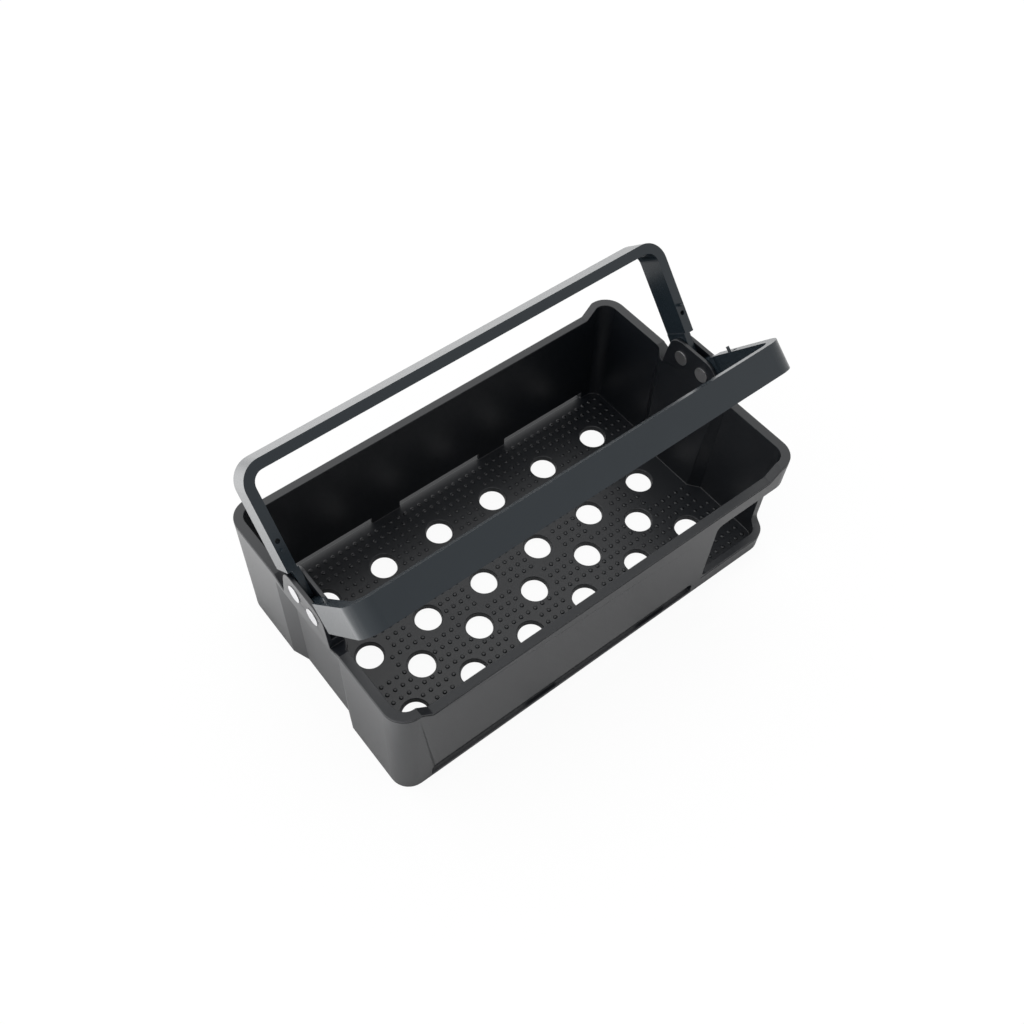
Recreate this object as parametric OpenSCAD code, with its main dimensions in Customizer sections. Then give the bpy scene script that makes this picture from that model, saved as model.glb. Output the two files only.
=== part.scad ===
// Tool storage caddy: an open tray with two folding handles that meet over its middle.
// Frame: origin on the underside at the centre of the tray, +X along the long sides,
// +Y towards the tray's closed long side, +Z up. Sizes in millimetres, angles in degrees.

/* [Tray] */
// length over the rim, along X
tray_len = 300.2; // [292:0.2:310]
// width over the rim, along Y
tray_wid = 175.4; // [168:0.2:184]
// height of the end rims
end_h = 91.5; // [90:0.5:94]
// height of the long-side rims
side_h = 83.7; // [80:0.1:86]
// length of the high rim at each end of the long sides
high_len = 23.2; // [22:0.1:32]
// how much each outer wall leans out from base to rim
draft = 1.7; // [1:0.1:2.4]
// outer corner radius at the base
corner_r = 12.3; // [10:0.1:16]
// wall thickness of the long sides at the rim
side_wall = 5.6; // [5:0.1:7]
// wall thickness of the ends at the rim
end_wall = 6.1; // [5.5:0.1:7]
// inner corner radius at the floor
inner_r = 7.5; // [5:0.1:9]
// how much each inner wall leans out from floor to rim
inner_draft = 0.9; // [0.3:0.1:1.5]
// floor thickness
floor_t = 3.7; // [3:0.1:5]

/* [Floor holes] */
// drain hole diameter at the floor's top
drain_d = 19; // [12:0.2:20]
// how much narrower a drain hole is at the underside
drain_taper = 2; // [0:0.1:3]
// hole pitch along X
drain_px = 45.26; // [42:0.02:46]
// row pitch along Y
drain_py = 24.44; // [23:0.02:25]

/* [Rim groove] */
// distance of the groove below the rim's top and below the window sill
groove_drop = 1.1; // [0.8:0.1:3]
// height of the groove
groove_w = 0.8; // [0.3:0.1:1.2]
// depth of the groove
groove_deep = 0.9; // [0.3:0.1:1.2]

/* [Window and slots] */
// length of the corner window along the long side, from the rim's end
win_len = 63.1; // [40:0.1:90]
// lower edge of the corner window
win_z0 = 13.2; // [12.8:0.1:20]
// upper edge of the corner window
win_z1 = 70; // [60:0.5:74]
// corner radius of the window
win_r = 5; // [2:0.5:6]
// width of the corner window on the end wall, from the rim's side
win_wid = 13.2; // [12:0.1:20]
// plain wall beyond the ends of the base slots
slot_end = 20.4; // [19.5:0.1:40]
// plain wall between the front base slot and the window
slot_to_win = 7.6; // [5:0.1:20]
// top of the outer groove of the base slots
slot_top = 12.6; // [9:0.1:12.8]
// lower edge of the outer groove
slot_low = 2.5; // [1.5:0.1:3]
// radius of the outer groove's upper corners
slot_r = 4.5; // [2:0.1:6]
// depth of the outer groove of the base slots
slot_deep = 2.9; // [2:0.1:3.2]
// top of the inner niches behind the groove
niche_top = 9.7; // [7:0.1:12]
// width of the two pillars inside each base slot
pillar_w = 23; // [15:0.5:30]
// pillar centres: distance from the slots' middle
pillar_x = 45.2; // [40:0.1:50]
// middle of the three inner niches
niche_mid = 2; // [-3:0.5:3]

/* [End recess and ears] */
// half-width of the end recess at the wall face
rec_half = 33; // [30:0.5:36]
// half-width of the recessed panel
panel_half = 22; // [20:0.5:24]
// depth of the end recess
rec_deep = 4.3; // [3:0.1:5]
// height where the recessed panel starts to slope out
panel_top = 69; // [60:0.5:72]
// height where the slope meets the wall face
rec_top = 83.5; // [80:0.5:86]
// half-width of each ear at the start of its top corners
ear_half = 20.6; // [20.2:0.1:21.5]
// top of the ears
ear_top = 114; // [113.6:0.1:115]
// how much lower the outer plate of each ear is
outer_drop = 0.7; // [0:0.1:1]
// radius of the ears' top corners
ear_r = 9.8; // [9:0.1:11]
// how much the ears' flanks lean
flank = 9; // [4:1:12]
// thickness of each ear, both plates and the slot
ear_thick = 9.9; // [9.2:0.1:11]
// thickness of the strengthened end at the floor
pad_thick = 11.1; // [10:0.1:13]
// depth of the rim dip beside each ear
dip = 4.5; // [2:0.1:5]

/* [Handles] */
// distance of each handle axis from the centre line
axis_y = 9.05; // [9:0.01:9.5]
// depth of the handle axes below the ears' top
pivot_drop = 12.2; // [11.9:0.1:12.4]
// lean of the rear handle away from upright
lean_rear = 41.8; // [0:0.1:90]
// lean of the front handle away from upright
lean_front = 39.5; // [0:0.1:90]
// distance from the axis to the outside of the crossbar
reach = 77.7; // [70:0.1:80]
// thickness of the handle bar
bar_t = 6.35; // [5:0.05:6.6]
// distance from the axis to the back of the bar
bar_back = 9.75; // [9:0.05:9.8]
// gap between each bar and the centre line when upright
bar_gap = 0.3; // [0.3:0.05:0.6]
// outer corner radius of the handles
bend_r = 14; // [10:0.5:20]
// distance from the axis to the shoulder above the tongue
shoulder = 14.4; // [13.6:0.1:15.5]
// thickness of the tongue in the ear
tongue_t = 4.3; // [3:0.1:4.4]
// how far the tongue stands inwards of the leg
tongue_step = 1; // [0:0.1:1.2]
// side clearance of the tongue in the ear slot
tongue_gap = 0.35; // [0.3:0.05:0.5]
// clearance round the tongue's end
end_gap = 0.35; // [0.3:0.05:0.5]
// distance from the axis to the far snap
snap_far = 33.1; // [32.4:0.1:40]
// distance from the axis to the near snap
snap_near = 27.8; // [20:0.1:28.4]
// snap peg diameter
peg_d = 2; // [1.4:0.1:2.4]
// snap peg length
peg_len = 3; // [1:0.1:3.4]
// radial clearance of a peg in its hole
peg_gap = 0.5; // [0.4:0.1:0.8]

/* [Pivots] */
// diameter of the pivot shank
pin_d = 6.4; // [5:0.1:8]
// radial running clearance in the tongue
pin_gap = 0.06; // [0.02:0.01:0.09]
// diameter of the outer pivot heads
head_d = 10.8; // [9:0.1:14]
// diameter of the inner cap heads
cap_d = 10; // [9:0.1:14]
// height of the pivot heads
head_t = 0.6; // [0.4:0.1:1.5]
// diameter of the cap's spigot
spigot_d = 3.4; // [2.5:0.1:4]
// length of the cap's spigot
spigot_len = 5.5; // [3:0.1:6]

/* [Hidden] */
$fn = 96;
eps = 0.5;
far = 400;
base_hl = tray_len / 2 - draft;
base_hw = tray_wid / 2 - draft;
in_hl = tray_len / 2 - end_wall - inner_draft;
in_hw = tray_wid / 2 - side_wall - inner_draft;
low_half = tray_len / 2 - high_len;
drop = end_h - side_h;
win_x = tray_len / 2 - win_len;
win_y = tray_wid / 2 - win_wid;
slot_x = base_hl - slot_end;
slot_front_x = win_x - slot_to_win;
ear_out = tray_len / 2;
ear_in = ear_out - ear_thick;
pad_in = base_hl - pad_thick;
slot_w = tongue_t + 2 * tongue_gap;
leg_out = tray_len / 2;
leg_in = leg_out - bar_t;
tongue_in = leg_in - tongue_step;
slot_in = tongue_in - tongue_gap;
axis_z = ear_top - pivot_drop;
tongue_r = axis_y - end_gap;
slot_floor = axis_z - tongue_r - end_gap;
bar_front = axis_y - bar_gap;

module across_y(len) { rotate([90, 0, 0]) linear_extrude(height = len, center = true) children(); }
module along_x(x0, x1) { translate([x0, 0, 0]) rotate([90, 0, 90]) linear_extrude(height = x1 - x0) children(); }

// rounded block whose four walls and corner cones lean out by d over the height of the ends
module leaning_block(hl, hw, r, z0, z1, d) {
    k = d / end_h;
    cx = hl - r;
    cy = hw - r;
    across_y(2 * cy) polygon([[-hl - k * z0, z0], [hl + k * z0, z0], [hl + k * z1, z1], [-hl - k * z1, z1]]);
    along_x(-cx, cx) polygon([[-hw - k * z0, z0], [hw + k * z0, z0], [hw + k * z1, z1], [-hw - k * z1, z1]]);
    for (sx = [-1, 1], sy = [-1, 1])
        translate([sx * cx, sy * cy, z0]) cylinder(r1 = r + k * z0, r2 = r + k * z1, h = z1 - z0);
}

// everything above the stepped rim line, lowered by d
module above_rim(d, top) {
    across_y(far) polygon([[-far, end_h - d], [-low_half - drop, end_h - d], [-low_half, side_h - d],
        [low_half, side_h - d], [low_half + drop, end_h - d], [far, end_h - d], [far, top], [-far, top]]);
}

// half-width of an ear's leaning flank at height z
function ear_flank(z) = ear_half - ear_r * (1 - cos(flank))
    + (ear_top - ear_r * (1 - sin(flank)) - z) * tan(flank);

// ear outline in Y (first) and Z, its top lowered by d
module ear_outline(d) {
    cy = ear_half - ear_r;
    cz = ear_top - ear_r - d;
    foot = side_h - 4;
    polygon([[-ear_flank(foot), foot], [ear_flank(foot), foot], [ear_flank(cz), cz], [cy, cz + ear_r],
        [-cy, cz + ear_r], [-ear_flank(cz), cz]]);
    for (s = [-1, 1]) translate([s * cy, cz]) circle(r = ear_r);
}

// thickened inside of an end with the ear on top, at +X
module end_block() {
    slope = (rec_half - panel_half) / rec_deep;
    intersection() {
        union() {
            along_x(ear_in - 10, slot_in + slot_w / 2) ear_outline(0);
            along_x(slot_in, ear_out + eps) ear_outline(outer_drop);
            translate([0, 0, floor_t - eps]) linear_extrude(height = end_h - floor_t + eps)
                polygon([[pad_in - 1, panel_half - 1], [pad_in - 1, 1 - panel_half],
                    [in_hl + 2, -panel_half - slope * 4], [in_hl + 2, panel_half + slope * 4]]);
        }
        across_y(far) polygon([[pad_in, floor_t - eps], [base_hl, floor_t - eps], [ear_out, end_h],
            [ear_out, ear_top + eps], [ear_in, ear_top + eps], [ear_in, end_h - dip]]);
    }
}

// slanted recess outside an end, open at the base, at +X
module end_recess() {
    slope = (rec_half - panel_half) / rec_deep;
    k = draft / end_h;
    px = base_hl - rec_deep;
    intersection() {
        translate([base_hl, 0, 0]) rotate([0, atan(k), 0]) translate([0, 0, -eps])
            linear_extrude(height = end_h)
            polygon([[3, -rec_half - 3 * slope], [3, rec_half + 3 * slope],
                [-rec_deep - 1, panel_half - slope], [-rec_deep - 1, slope - panel_half]]);
        across_y(far) polygon([[px - eps * k, -eps], [px + panel_top * k, panel_top],
            [base_hl + rec_top * k, rec_top], [base_hl + rec_top * k + 9, rec_top + 20],
            [base_hl + rec_top * k + 20, -eps]]);
    }
}

// rim dip on both sides of an ear, at +X
module rim_dip() {
    for (s = [0, 1]) mirror([0, s, 0]) along_x(in_hl - 10, ear_out + eps)
        polygon([[rec_half, end_h], [ear_flank(end_h - dip), end_h - dip],
            [ear_flank(end_h + eps), end_h + eps], [rec_half, end_h + eps]]);
}

module rim_groove() {
    difference() {
        intersection() {
            above_rim(groove_drop + groove_w, end_h);
            leaning_block(base_hl + 1, base_hw + 1, corner_r + 1, side_h - 5, end_h, draft);
        }
        above_rim(groove_drop, end_h + 1);
        leaning_block(base_hl - groove_deep, base_hw - groove_deep, corner_r - groove_deep,
            side_h - 6, end_h + 1, draft);
        translate([-far / 2, -rec_half, 0]) cube([far, 2 * rec_half, far]);
    }
    low = end_h - dip - groove_drop;
    for (m = [0, 1], s = [0, 1]) mirror([m, 0, 0]) mirror([0, s, 0])
        along_x(ear_out - groove_deep, ear_out + eps)
        polygon([[rec_half, end_h - groove_drop], [ear_flank(low), low],
            [ear_flank(low), low - groove_w], [rec_half, end_h - groove_drop - groove_w]]);
}

// the same groove below the window sill
module sill_groove() {
    z1 = win_z0 - groove_drop;
    z0 = z1 - groove_w;
    intersection() {
        translate([win_x, -far - win_y, 0]) cube([far, far, far]);
        difference() {
            leaning_block(base_hl + 1, base_hw + 1, corner_r + 1, z0, z1, draft);
            leaning_block(base_hl - groove_deep, base_hw - groove_deep, corner_r - groove_deep,
                z0 - eps, z1 + eps, draft);
        }
    }
}

module drain_holes() {
    for (i = [-2.5:2.5], j = [-2, 0, 2])
        translate([i * drain_px, j * drain_py, -eps])
            cylinder(d1 = drain_d - drain_taper, d2 = drain_d, h = floor_t + 2 * eps);
    for (i = [-2:2], j = [-1, 1])
        translate([i * drain_px, j * drain_py, -eps])
            cylinder(d1 = drain_d - drain_taper, d2 = drain_d, h = floor_t + 2 * eps);
}

// window outline starting at h0 with rounded corners on that side
module rounded_window(h0) {
    translate([h0 + win_r, win_z0]) square([far - h0, win_z1 - win_z0]);
    translate([h0, win_z0 + win_r]) square([far - h0, win_z1 - win_z0 - 2 * win_r]);
    for (z = [win_z0 + win_r, win_z1 - win_r]) translate([h0 + win_r, z]) circle(r = win_r);
}

// corner window through the front wall and round onto the +X end wall
module corner_window() {
    intersection() {
        across_y(far) rounded_window(win_x);
        mirror([0, 1, 0]) along_x(0, far) rounded_window(win_y);
    }
}

// slots at floor level: one long outer groove per side and three inner niches behind it
module base_slot(x1) {
    x0 = -slot_x;
    translate([0, base_hw - slot_deep + 10, 0]) across_y(20) {
        translate([x0, slot_low]) square([x1 - x0, slot_top - slot_r - slot_low]);
        translate([x0 + slot_r, slot_low]) square([x1 - x0 - 2 * slot_r, slot_top - slot_low]);
        for (x = [x0 + slot_r, x1 - slot_r]) translate([x, slot_top - slot_r]) circle(r = slot_r);
    }
    left = niche_mid - pillar_x;
    right = niche_mid + pillar_x;
    for (n = [[x0, left - pillar_w / 2], [left + pillar_w / 2, right - pillar_w / 2], [right + pillar_w / 2, x1]])
        translate([n[0], in_hw - 2, floor_t]) cube([n[1] - n[0], 5, niche_top - floor_t]);
}

module tray() {
    color([0.18, 0.2, 0.22]) difference() {
        union() {
            difference() {
                leaning_block(base_hl, base_hw, corner_r, 0, end_h, draft);
                translate([0, 0, floor_t]) leaning_block(in_hl, in_hw, inner_r, 0, end_h, inner_draft);
                above_rim(0, end_h + 10);
            }
            for (m = [0, 1]) mirror([m, 0, 0]) end_block();
        }
        for (m = [0, 1]) mirror([m, 0, 0]) {
            end_recess();
            rim_dip();
            translate([slot_in, -far / 2, slot_floor]) cube([slot_w, far, 40]);
            for (s = [-1, 1]) translate([ear_in - 5, s * axis_y, axis_z])
                rotate([0, 90, 0]) cylinder(d = pin_d, h = 20);
        }
        rim_groove();
        sill_groove();
        drain_holes();
        corner_window();
        base_slot(slot_x + niche_mid);
        mirror([0, 1, 0]) base_slot(slot_front_x);
    }
}

// upright handle in its own frame: axis on the X axis, mating face towards -Y
module handle_outline(o, r) {
    hw = leg_out - o;
    top = reach - o;
    translate([-hw, shoulder]) square([2 * hw, top - r - shoulder]);
    translate([-hw + r, shoulder]) square([2 * (hw - r), top - shoulder]);
    for (s = [-1, 1]) translate([s * (hw - r), top - r]) circle(r = r);
}

module handle() {
    bar_w = bar_back + bar_front;
    difference() {
        union() {
            translate([0, (bar_back - bar_front) / 2, 0]) difference() {
                across_y(bar_w) handle_outline(0, bend_r);
                across_y(bar_w + 1) {
                    handle_outline(bar_t, bend_r - bar_t);
                    translate([-leg_in, 0]) square([2 * leg_in, shoulder + 10]);
                }
            }
            for (m = [0, 1]) mirror([m, 0, 0]) {
                translate([tongue_in, 0, 0]) rotate([0, 90, 0]) cylinder(r = tongue_r, h = tongue_t);
                translate([tongue_in, -tongue_r, 0]) cube([tongue_t, 2 * tongue_r, shoulder + 1]);
            }
            snap_peg(1, snap_far);
            snap_peg(-1, snap_near);
        }
        for (m = [0, 1]) mirror([m, 0, 0]) translate([leg_in - 5, 0, 0])
            rotate([0, 90, 0]) cylinder(d = pin_d + 2 * pin_gap, h = 20);
        snap_hole(1, snap_near);
        snap_hole(-1, snap_far);
    }
}

module snap_peg(side, z) {
    translate([side * (leg_in + leg_out) / 2, 1 - bar_front, z])
        rotate([90, 0, 0]) cylinder(d = peg_d, h = peg_len + 1);
}

module snap_hole(side, z) {
    translate([side * (leg_in + leg_out) / 2, peg_len + peg_gap - bar_front, z])
        rotate([90, 0, 0]) cylinder(d = peg_d + 2 * peg_gap, h = 10);
}

module rear_handle() {
    color([0.24, 0.27, 0.3]) translate([0, axis_y, axis_z]) rotate([-lean_rear, 0, 0]) handle();
}

module front_handle() {
    color([0.24, 0.27, 0.3]) translate([0, -axis_y, axis_z]) rotate([lean_front, 0, 0])
        rotate([0, 0, 180]) handle();
}

// side: -1 left, 1 right; row: 1 rear, -1 front
module stud(side, row) {
    color([0.75, 0.76, 0.78]) translate([0, row * axis_y, axis_z]) mirror([side < 0 ? 1 : 0, 0, 0])
        difference() {
            union() {
                translate([ear_in, 0, 0]) rotate([0, 90, 0]) cylinder(d = pin_d, h = ear_out - ear_in + 0.1);
                translate([ear_out, 0, 0]) rotate([0, 90, 0]) cylinder(d = head_d, h = head_t);
            }
            translate([ear_in - 1, 0, 0]) rotate([0, 90, 0]) cylinder(d = spigot_d, h = spigot_len + 1.3);
        }
}

module cap(side, row) {
    color([0.6, 0.61, 0.63]) translate([0, row * axis_y, axis_z]) mirror([side < 0 ? 1 : 0, 0, 0])
        union() {
            translate([ear_in - head_t, 0, 0]) rotate([0, 90, 0]) cylinder(d = cap_d, h = head_t);
            translate([ear_in - 0.1, 0, 0]) rotate([0, 90, 0]) cylinder(d = spigot_d, h = spigot_len + 0.1);
        }
}

module stud_rear_left() { stud(-1, 1); }
module stud_rear_right() { stud(1, 1); }
module stud_front_left() { stud(-1, -1); }
module stud_front_right() { stud(1, -1); }
module cap_rear_left() { cap(-1, 1); }
module cap_rear_right() { cap(1, 1); }
module cap_front_left() { cap(-1, -1); }
module cap_front_right() { cap(1, -1); }

tray();
rear_handle();
front_handle();
stud_rear_left();
stud_rear_right();
stud_front_left();
stud_front_right();
cap_rear_left();
cap_rear_right();
cap_front_left();
cap_front_right();
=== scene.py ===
import math

import bpy
from mathutils import Matrix, Vector


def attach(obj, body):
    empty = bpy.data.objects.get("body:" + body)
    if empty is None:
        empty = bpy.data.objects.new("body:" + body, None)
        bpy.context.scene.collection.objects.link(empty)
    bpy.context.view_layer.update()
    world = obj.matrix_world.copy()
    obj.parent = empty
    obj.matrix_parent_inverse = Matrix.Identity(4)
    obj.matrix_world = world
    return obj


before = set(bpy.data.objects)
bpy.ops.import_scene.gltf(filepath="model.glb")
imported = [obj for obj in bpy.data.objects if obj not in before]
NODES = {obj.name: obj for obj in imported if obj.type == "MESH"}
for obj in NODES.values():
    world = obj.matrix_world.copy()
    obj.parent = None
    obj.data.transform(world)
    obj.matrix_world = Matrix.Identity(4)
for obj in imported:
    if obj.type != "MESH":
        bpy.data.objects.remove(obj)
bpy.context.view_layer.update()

MM = 0.001
WHITE = (1, 1, 1, 1)
scene = bpy.context.scene
scene.view_settings.view_transform = "Standard"


# ---------------------------------------------------------------- camera
# Fitted to many points read in the photograph, whose picture centre lies off the middle.
FOCAL_LENGTH = 41.10
SENSOR_WIDTH = 36.0
SHIFT_X = 0.0565
CAMERA_PLACE = Vector((-0.2822, -0.3097, 0.6507))
AZIMUTH, ELEVATION, ROLL = -37.19, 54.67, 0.13  # degrees
CLIP_START, CLIP_END = 0.01, 50.0


def add_camera():
    data = bpy.data.cameras.new("camera")
    data.sensor_fit = "HORIZONTAL"
    data.sensor_width = SENSOR_WIDTH
    data.lens = FOCAL_LENGTH
    data.shift_x = SHIFT_X
    data.clip_start = CLIP_START
    data.clip_end = CLIP_END
    cam = bpy.data.objects.new("camera", data)
    scene.collection.objects.link(cam)
    turn = (Matrix.Rotation(math.radians(AZIMUTH), 4, "Z")
            @ Matrix.Rotation(math.radians(90 - ELEVATION), 4, "X")
            @ Matrix.Rotation(math.radians(ROLL), 4, "Z"))
    cam.matrix_world = Matrix.Translation(CAMERA_PLACE) @ turn
    scene.camera = cam


add_camera()


# ---------------------------------------------------------------- nodes
def math_node(nt, kind, *values):
    """The result of a Math node; each value is a number or another node's output."""
    node = nt.nodes.new("ShaderNodeMath")
    node.operation = kind
    for k, value in enumerate(values):
        if isinstance(value, (int, float)):
            node.inputs[k].default_value = value
        else:
            nt.links.new(value, node.inputs[k])
    return node.outputs["Value"]


def smooth(nt, source, start, end, gain):
    """gain times a smooth step of a value from start to end."""
    step = nt.nodes.new("ShaderNodeMapRange")
    step.interpolation_type = "SMOOTHSTEP"
    step.inputs["From Min"].default_value = start
    step.inputs["From Max"].default_value = end
    step.inputs["To Min"].default_value = 0.0
    step.inputs["To Max"].default_value = gain
    nt.links.new(source, step.inputs["Value"])
    return step.outputs["Result"]


def new_material(name):
    """A material with an empty node tree, and that tree."""
    mat = bpy.data.materials.new(name)
    mat.use_nodes = True
    mat.node_tree.nodes.clear()
    return mat, mat.node_tree


# ---------------------------------------------------------------- light
# Strength of the plain world: as camera, glossy and transmission rays see it, and as other rays do.
BACKGROUND, AMBIENT = 1.0, 0.75
# Studio lights drawn in the world: direction, cosines where the soft edge starts and ends, strength.
# A broad one above, behind and at the left, and a weak one at the right and in front.
LIGHTS = (((-0.52, 0.60, 0.65), -0.15, 0.90, 1.55),
          ((0.85, -0.40, 0.35), 0.55, 1.00, 0.40))


def add_world():
    """White to the camera; every other ray also sees the studio lights."""
    world = bpy.data.worlds.new("studio")
    scene.world = world
    world.use_nodes = True
    nt = world.node_tree
    nt.nodes.clear()
    n, link = nt.nodes.new, nt.links.new
    coord = n("ShaderNodeTexCoord")
    path = n("ShaderNodeLightPath")
    seen = math_node(nt, "MAXIMUM", path.outputs["Is Glossy Ray"], path.outputs["Is Transmission Ray"])
    seen = math_node(nt, "MAXIMUM", path.outputs["Is Camera Ray"], seen)
    total = math_node(nt, "MULTIPLY_ADD", seen, BACKGROUND - AMBIENT, AMBIENT)
    unseen = math_node(nt, "SUBTRACT", 1.0, path.outputs["Is Camera Ray"])
    for toward, start, end, gain in LIGHTS:
        dot = n("ShaderNodeVectorMath")
        dot.operation = "DOT_PRODUCT"
        dot.inputs[1].default_value = Vector(toward).normalized()
        link(coord.outputs["Generated"], dot.inputs[0])
        light = smooth(nt, dot.outputs["Value"], start, end, gain)
        total = math_node(nt, "MULTIPLY_ADD", light, unseen, total)
    soft = n("ShaderNodeBackground")
    soft.inputs["Color"].default_value = WHITE
    link(total, soft.inputs["Strength"])
    link(soft.outputs["Background"], n("ShaderNodeOutputWorld").inputs["Surface"])


add_world()


# ---------------------------------------------------------------- floor
FLOOR_HALF = 3.0
FLOOR_DROP = 0.4 * MM  # below the part's underside
FLOOR_GREY = 0.66
# How much of the floor's own shading the camera sees.
FLOOR_SHADOW = 0.08
# Extra light on the floor: strength, and where it starts and is full, in metres from the part's middle.
# The X of the two at the left is measured leftward.
GLOW_BEHIND, BEHIND_Y = 0.8, (0.09, 0.42)
GLOW_LEFT, LEFT_X = 1.3, (0.182, 0.222)
GLOW_LEFT_REAR, LEFT_REAR_X, LEFT_REAR_Y = 0.4, (0.148, 0.165), (-0.02, 0.13)
# The share of the light behind that is lost towards the right.
BEHIND_FADE, FADE_X = 0.5, (-0.05, 0.45)


def floor_glow(nt, x, y):
    """The extra light's strength at a place on the floor."""
    kept = math_node(nt, "SUBTRACT", 1.0, smooth(nt, x, *FADE_X, BEHIND_FADE))
    behind = math_node(nt, "MULTIPLY", smooth(nt, y, *BEHIND_Y, GLOW_BEHIND), kept)
    leftward = math_node(nt, "MULTIPLY", x, -1.0)
    left = math_node(nt, "MULTIPLY_ADD", smooth(nt, leftward, *LEFT_REAR_X, GLOW_LEFT_REAR),
                     smooth(nt, y, *LEFT_REAR_Y, 1.0), smooth(nt, leftward, *LEFT_X, GLOW_LEFT))
    return math_node(nt, "ADD", behind, left)


def floor_material():
    """Near white with a faint shadow to the camera; grey with the extra light to every other ray."""
    mat, nt = new_material("floor_white")
    n, link = nt.nodes.new, nt.links.new
    diffuse = n("ShaderNodeBsdfDiffuse")
    diffuse.inputs["Color"].default_value = (FLOOR_GREY, FLOOR_GREY, FLOOR_GREY, 1)
    axes = n("ShaderNodeSeparateXYZ")
    link(n("ShaderNodeTexCoord").outputs["Object"], axes.inputs["Vector"])
    glow = n("ShaderNodeEmission")
    link(floor_glow(nt, axes.outputs["X"], axes.outputs["Y"]), glow.inputs["Strength"])
    lit = n("ShaderNodeAddShader")
    link(diffuse.outputs["BSDF"], lit.inputs[0])
    link(glow.outputs["Emission"], lit.inputs[1])
    white = n("ShaderNodeEmission")
    white.inputs["Color"].default_value = WHITE
    white.inputs["Strength"].default_value = 1.0
    shade = n("ShaderNodeMixShader")
    shade.inputs["Fac"].default_value = 1.0 - FLOOR_SHADOW
    link(diffuse.outputs["BSDF"], shade.inputs[1])
    link(white.outputs["Emission"], shade.inputs[2])
    mix = n("ShaderNodeMixShader")
    link(n("ShaderNodeLightPath").outputs["Is Camera Ray"], mix.inputs["Fac"])
    link(lit.outputs["Shader"], mix.inputs[1])
    link(shade.outputs["Shader"], mix.inputs[2])
    link(mix.outputs["Shader"], n("ShaderNodeOutputMaterial").inputs["Surface"])
    return mat


def add_floor():
    me = bpy.data.meshes.new("floor")
    s = FLOOR_HALF
    me.from_pydata([(-s, -s, 0), (s, -s, 0), (s, s, 0), (-s, s, 0)], [], [(0, 1, 2, 3)])
    me.materials.append(floor_material())
    ob = bpy.data.objects.new("floor", me)
    scene.collection.objects.link(ob)
    ob.location.z = -FLOOR_DROP


add_floor()


# ---------------------------------------------------------------- materials
PLASTIC_IOR = 1.5
# Scale and detail of each noise.
MOTTLE = 55.0, 3.0
GRAIN = 2600.0, 2.0
SCRATCHES = 1500.0, 3.0
# Strength and depth of each bump.
GRAIN_BUMP = 0.05, 0.2 * MM
SCRATCH_BUMP = 0.15, 0.1 * MM
# How far roughness goes below and above its mean.
PLASTIC_SPREAD = 0.05, 0.05
METAL_SPREAD = 0.06, 0.08
# How dark a scratch is against the metal round it.
SCRATCH_SHADE = 0.8


def new_surface(name):
    """A material with a Principled shader; returns it, its tree, that shader and the part's coordinates."""
    mat, nt = new_material(name)
    bsdf = nt.nodes.new("ShaderNodeBsdfPrincipled")
    out = nt.nodes.new("ShaderNodeOutputMaterial")
    nt.links.new(bsdf.outputs["BSDF"], out.inputs["Surface"])
    return mat, nt, bsdf, nt.nodes.new("ShaderNodeTexCoord").outputs["Object"]


def noise(nt, coord, scale, detail):
    node = nt.nodes.new("ShaderNodeTexNoise")
    node.inputs["Scale"].default_value = scale
    node.inputs["Detail"].default_value = detail
    nt.links.new(coord, node.inputs["Vector"])
    return node.outputs["Fac"]


def vary_colour(nt, bsdf, pattern, dark, light):
    tint = nt.nodes.new("ShaderNodeMix")
    tint.data_type = "RGBA"
    tint.inputs["A"].default_value = (*dark, 1)
    tint.inputs["B"].default_value = (*light, 1)
    nt.links.new(pattern, tint.inputs["Factor"])
    nt.links.new(tint.outputs["Result"], bsdf.inputs["Base Color"])


def vary_roughness(nt, bsdf, pattern, rough, below, above):
    spread = nt.nodes.new("ShaderNodeMapRange")
    spread.inputs["To Min"].default_value = rough - below
    spread.inputs["To Max"].default_value = rough + above
    nt.links.new(pattern, spread.inputs["Value"])
    nt.links.new(spread.outputs["Result"], bsdf.inputs["Roughness"])


def add_bump(nt, bsdf, pattern, strength, depth):
    bump = nt.nodes.new("ShaderNodeBump")
    bump.inputs["Strength"].default_value = strength
    bump.inputs["Distance"].default_value = depth
    nt.links.new(pattern, bump.inputs["Height"])
    nt.links.new(bump.outputs["Normal"], bsdf.inputs["Normal"])


def moulded_plastic(name, dark, light, rough, specular):
    """Satin moulded plastic: faint mottling in its colour, fine moulded grain in roughness and bump."""
    mat, nt, bsdf, coord = new_surface(name)
    bsdf.inputs["IOR"].default_value = PLASTIC_IOR
    bsdf.inputs["Specular IOR Level"].default_value = specular
    vary_colour(nt, bsdf, noise(nt, coord, *MOTTLE), dark, light)
    grain = noise(nt, coord, *GRAIN)
    vary_roughness(nt, bsdf, grain, rough, *PLASTIC_SPREAD)
    add_bump(nt, bsdf, grain, *GRAIN_BUMP)
    return mat


def brushed_metal(name, colour, rough, stretch):
    """Brushed steel: fine straight scratches along Z in colour, roughness and bump."""
    mat, nt, bsdf, coord = new_surface(name)
    bsdf.inputs["Metallic"].default_value = 1.0
    along = nt.nodes.new("ShaderNodeMapping")
    along.inputs["Scale"].default_value = (1.0, 1.0, stretch)
    nt.links.new(coord, along.inputs["Vector"])
    scratches = noise(nt, along.outputs["Vector"], *SCRATCHES)
    vary_colour(nt, bsdf, scratches, [c * SCRATCH_SHADE for c in colour], colour)
    vary_roughness(nt, bsdf, scratches, rough, *METAL_SPREAD)
    add_bump(nt, bsdf, scratches, *SCRATCH_BUMP)
    return mat


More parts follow.
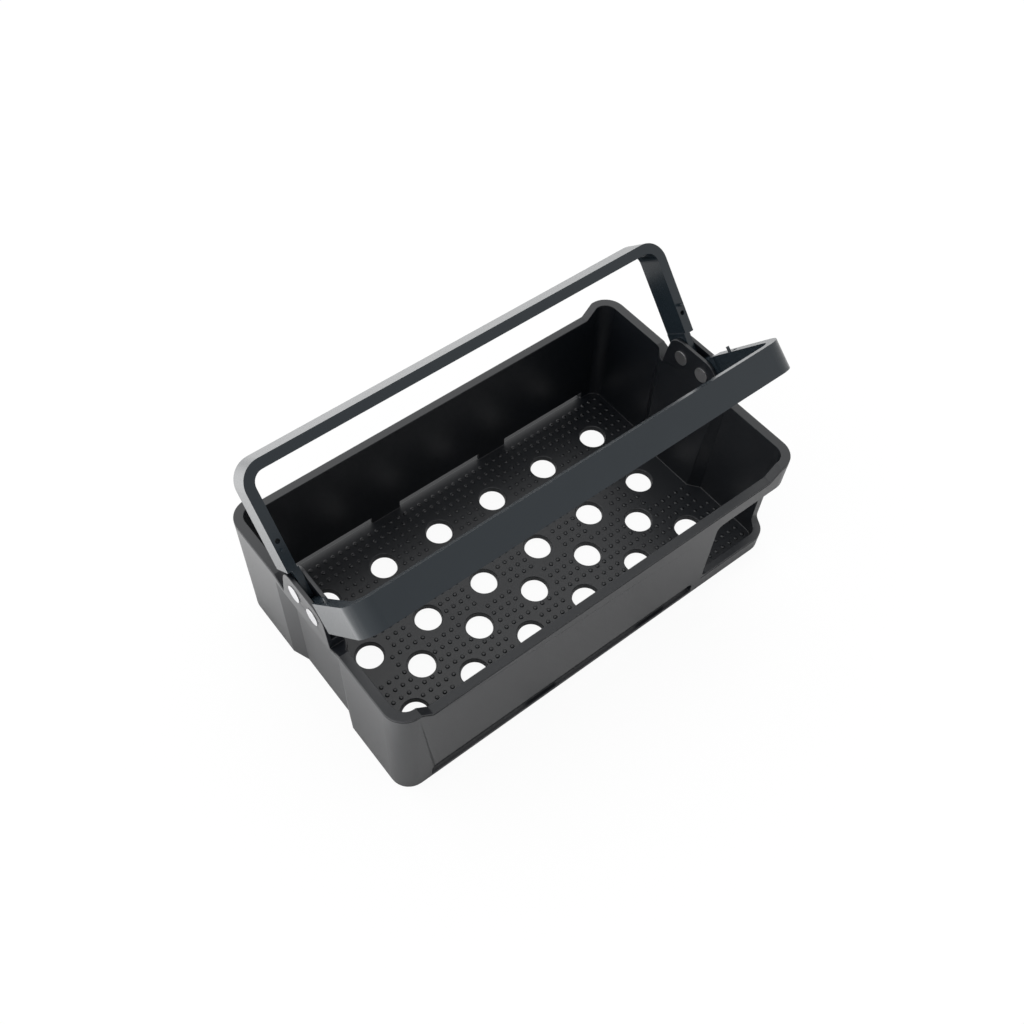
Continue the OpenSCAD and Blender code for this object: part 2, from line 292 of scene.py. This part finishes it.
TRAY = moulded_plastic("tray_plastic", (0.0018, 0.0027, 0.0042), (0.0027, 0.0037, 0.0056), 0.38, 0.42)
HANDLE = moulded_plastic("handle_plastic", (0.0068, 0.0106, 0.0140), (0.0088, 0.0130, 0.0168), 0.24, 0.29)
METAL = brushed_metal("pivot_steel", (0.53, 0.53, 0.54), 0.30, 0.06)


# ---------------------------------------------------------------- CAD pieces
# Width and segments of the rounding, and whether it is kept inside small features.
TRAY_ROUNDING = 0.45 * MM, 3, False
HANDLE_ROUNDING = 1.6 * MM, 4, True
PIVOT_ROUNDING = 0.25 * MM, 2, True
ROUND_ANGLE = math.radians(32)  # sharper edges than this are rounded
WELD_GAP = 0.01 * MM


def wear(ob, mat):
    ob.data.materials.clear()
    ob.data.materials.append(mat)


def soften(ob, width, segments, clamp):
    """Rounds a CAD node's edges with modifiers only."""
    weld = ob.modifiers.new("weld", "WELD")
    weld.merge_threshold = WELD_GAP
    rounding = ob.modifiers.new("round", "BEVEL")
    rounding.limit_method = "ANGLE"
    rounding.angle_limit = ROUND_ANGLE
    rounding.width = width
    rounding.segments = segments
    rounding.use_clamp_overlap = clamp
    rounding.harden_normals = True
    rounding.miter_outer = "MITER_ARC"
    even = ob.modifiers.new("even", "WEIGHTED_NORMAL")
    even.keep_sharp = True


wear(NODES["tray"], TRAY)
soften(NODES["tray"], *TRAY_ROUNDING)
for name in ("rear_handle", "front_handle"):
    wear(NODES[name], HANDLE)
    soften(NODES[name], *HANDLE_ROUNDING)
for name, ob in NODES.items():
    if name.startswith(("stud", "cap")):
        wear(ob, METAL)
        soften(ob, *PIVOT_ROUNDING)


# ---------------------------------------------------------------- floor domes, in millimetres
PITCH_X, PITCH_Y = 5.868, 6.49
HALF_COLUMNS, HALF_ROWS = 24, 12
DOME_R, DOME_H = 1.48, 0.85
DOME_Z = 3.66  # just under the top of the tray's floor
DOME_SIDES = 12
# Each ring of a dome, as shares of its radius and height.
DOME_RINGS = ((1.0, 0.0), (0.93, 0.35), (0.80, 0.68), (0.55, 0.90), (0.28, 0.985))
HOLE_X, HOLE_Y = 45.26, 24.44
# Free radius round the drain holes in each row of domes, from the middle row out.
HOLE_FREE = (11.9, 14.0, 12.5, 11.0, 11.0, 11.0, 11.85, 11.85, 13.0)
# In front of each strengthened end: no domes beyond the first value along X and within the second along Y.
END_FREE = ((105, 19.5), (133.5, 39))


def hole_places():
    """Middles of the drain holes: three rows of six and two rows of five between them."""
    return ([((i - 2.5) * HOLE_X, j * HOLE_Y) for i in range(6) for j in (-2, 0, 2)]
            + [((i - 2) * HOLE_X, j * HOLE_Y) for i in range(5) for j in (-1, 1)])


def dome_places():
    """Middles of the domes: a rectangular lattice, left out round the drain holes and at the ends."""
    holes = hole_places()
    for i in range(-HALF_COLUMNS, HALF_COLUMNS):
        for j in range(-HALF_ROWS, HALF_ROWS):
            x, y = (i + 0.5) * PITCH_X, (j + 0.5) * PITCH_Y
            row = min(j if j >= 0 else -j - 1, len(HOLE_FREE) - 1)
            by_hole = min(math.hypot(x - a, y - b) for a, b in holes) < HOLE_FREE[row]
            by_end = any(abs(x) > far and abs(y) < wide for far, wide in END_FREE)
            if not by_hole and not by_end:
                yield x, y


def add_dome(verts, faces, x, y):
    """Adds one dome's rings and tip."""
    first = len(verts)
    for radius, height in DOME_RINGS:
        for s in range(DOME_SIDES):
            a = 2 * math.pi * s / DOME_SIDES
            verts.append(((x + DOME_R * radius * math.cos(a)) * MM,
                          (y + DOME_R * radius * math.sin(a)) * MM,
                          (DOME_Z + DOME_H * height) * MM))
    tip = len(verts)
    verts.append((x * MM, y * MM, (DOME_Z + DOME_H) * MM))
    last = tip - DOME_SIDES
    turns = [(s, (s + 1) % DOME_SIDES) for s in range(DOME_SIDES)]
    for low in range(first, last, DOME_SIDES):
        high = low + DOME_SIDES
        faces.extend((low + s, low + u, high + u, high + s) for s, u in turns)
    faces.extend((last + s, last + u, tip) for s, u in turns)


def floor_domes():
    """The small domes on the tray's floor, as one mesh."""
    verts, faces = [], []
    for x, y in dome_places():
        add_dome(verts, faces, x, y)
    me = bpy.data.meshes.new("floor_domes")
    me.from_pydata(verts, [], faces)
    me.polygons.foreach_set("use_smooth", [True] * len(me.polygons))
    me.materials.append(TRAY)
    ob = bpy.data.objects.new("floor_domes", me)
    scene.collection.objects.link(ob)
    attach(ob, "tray_body")


floor_domes()
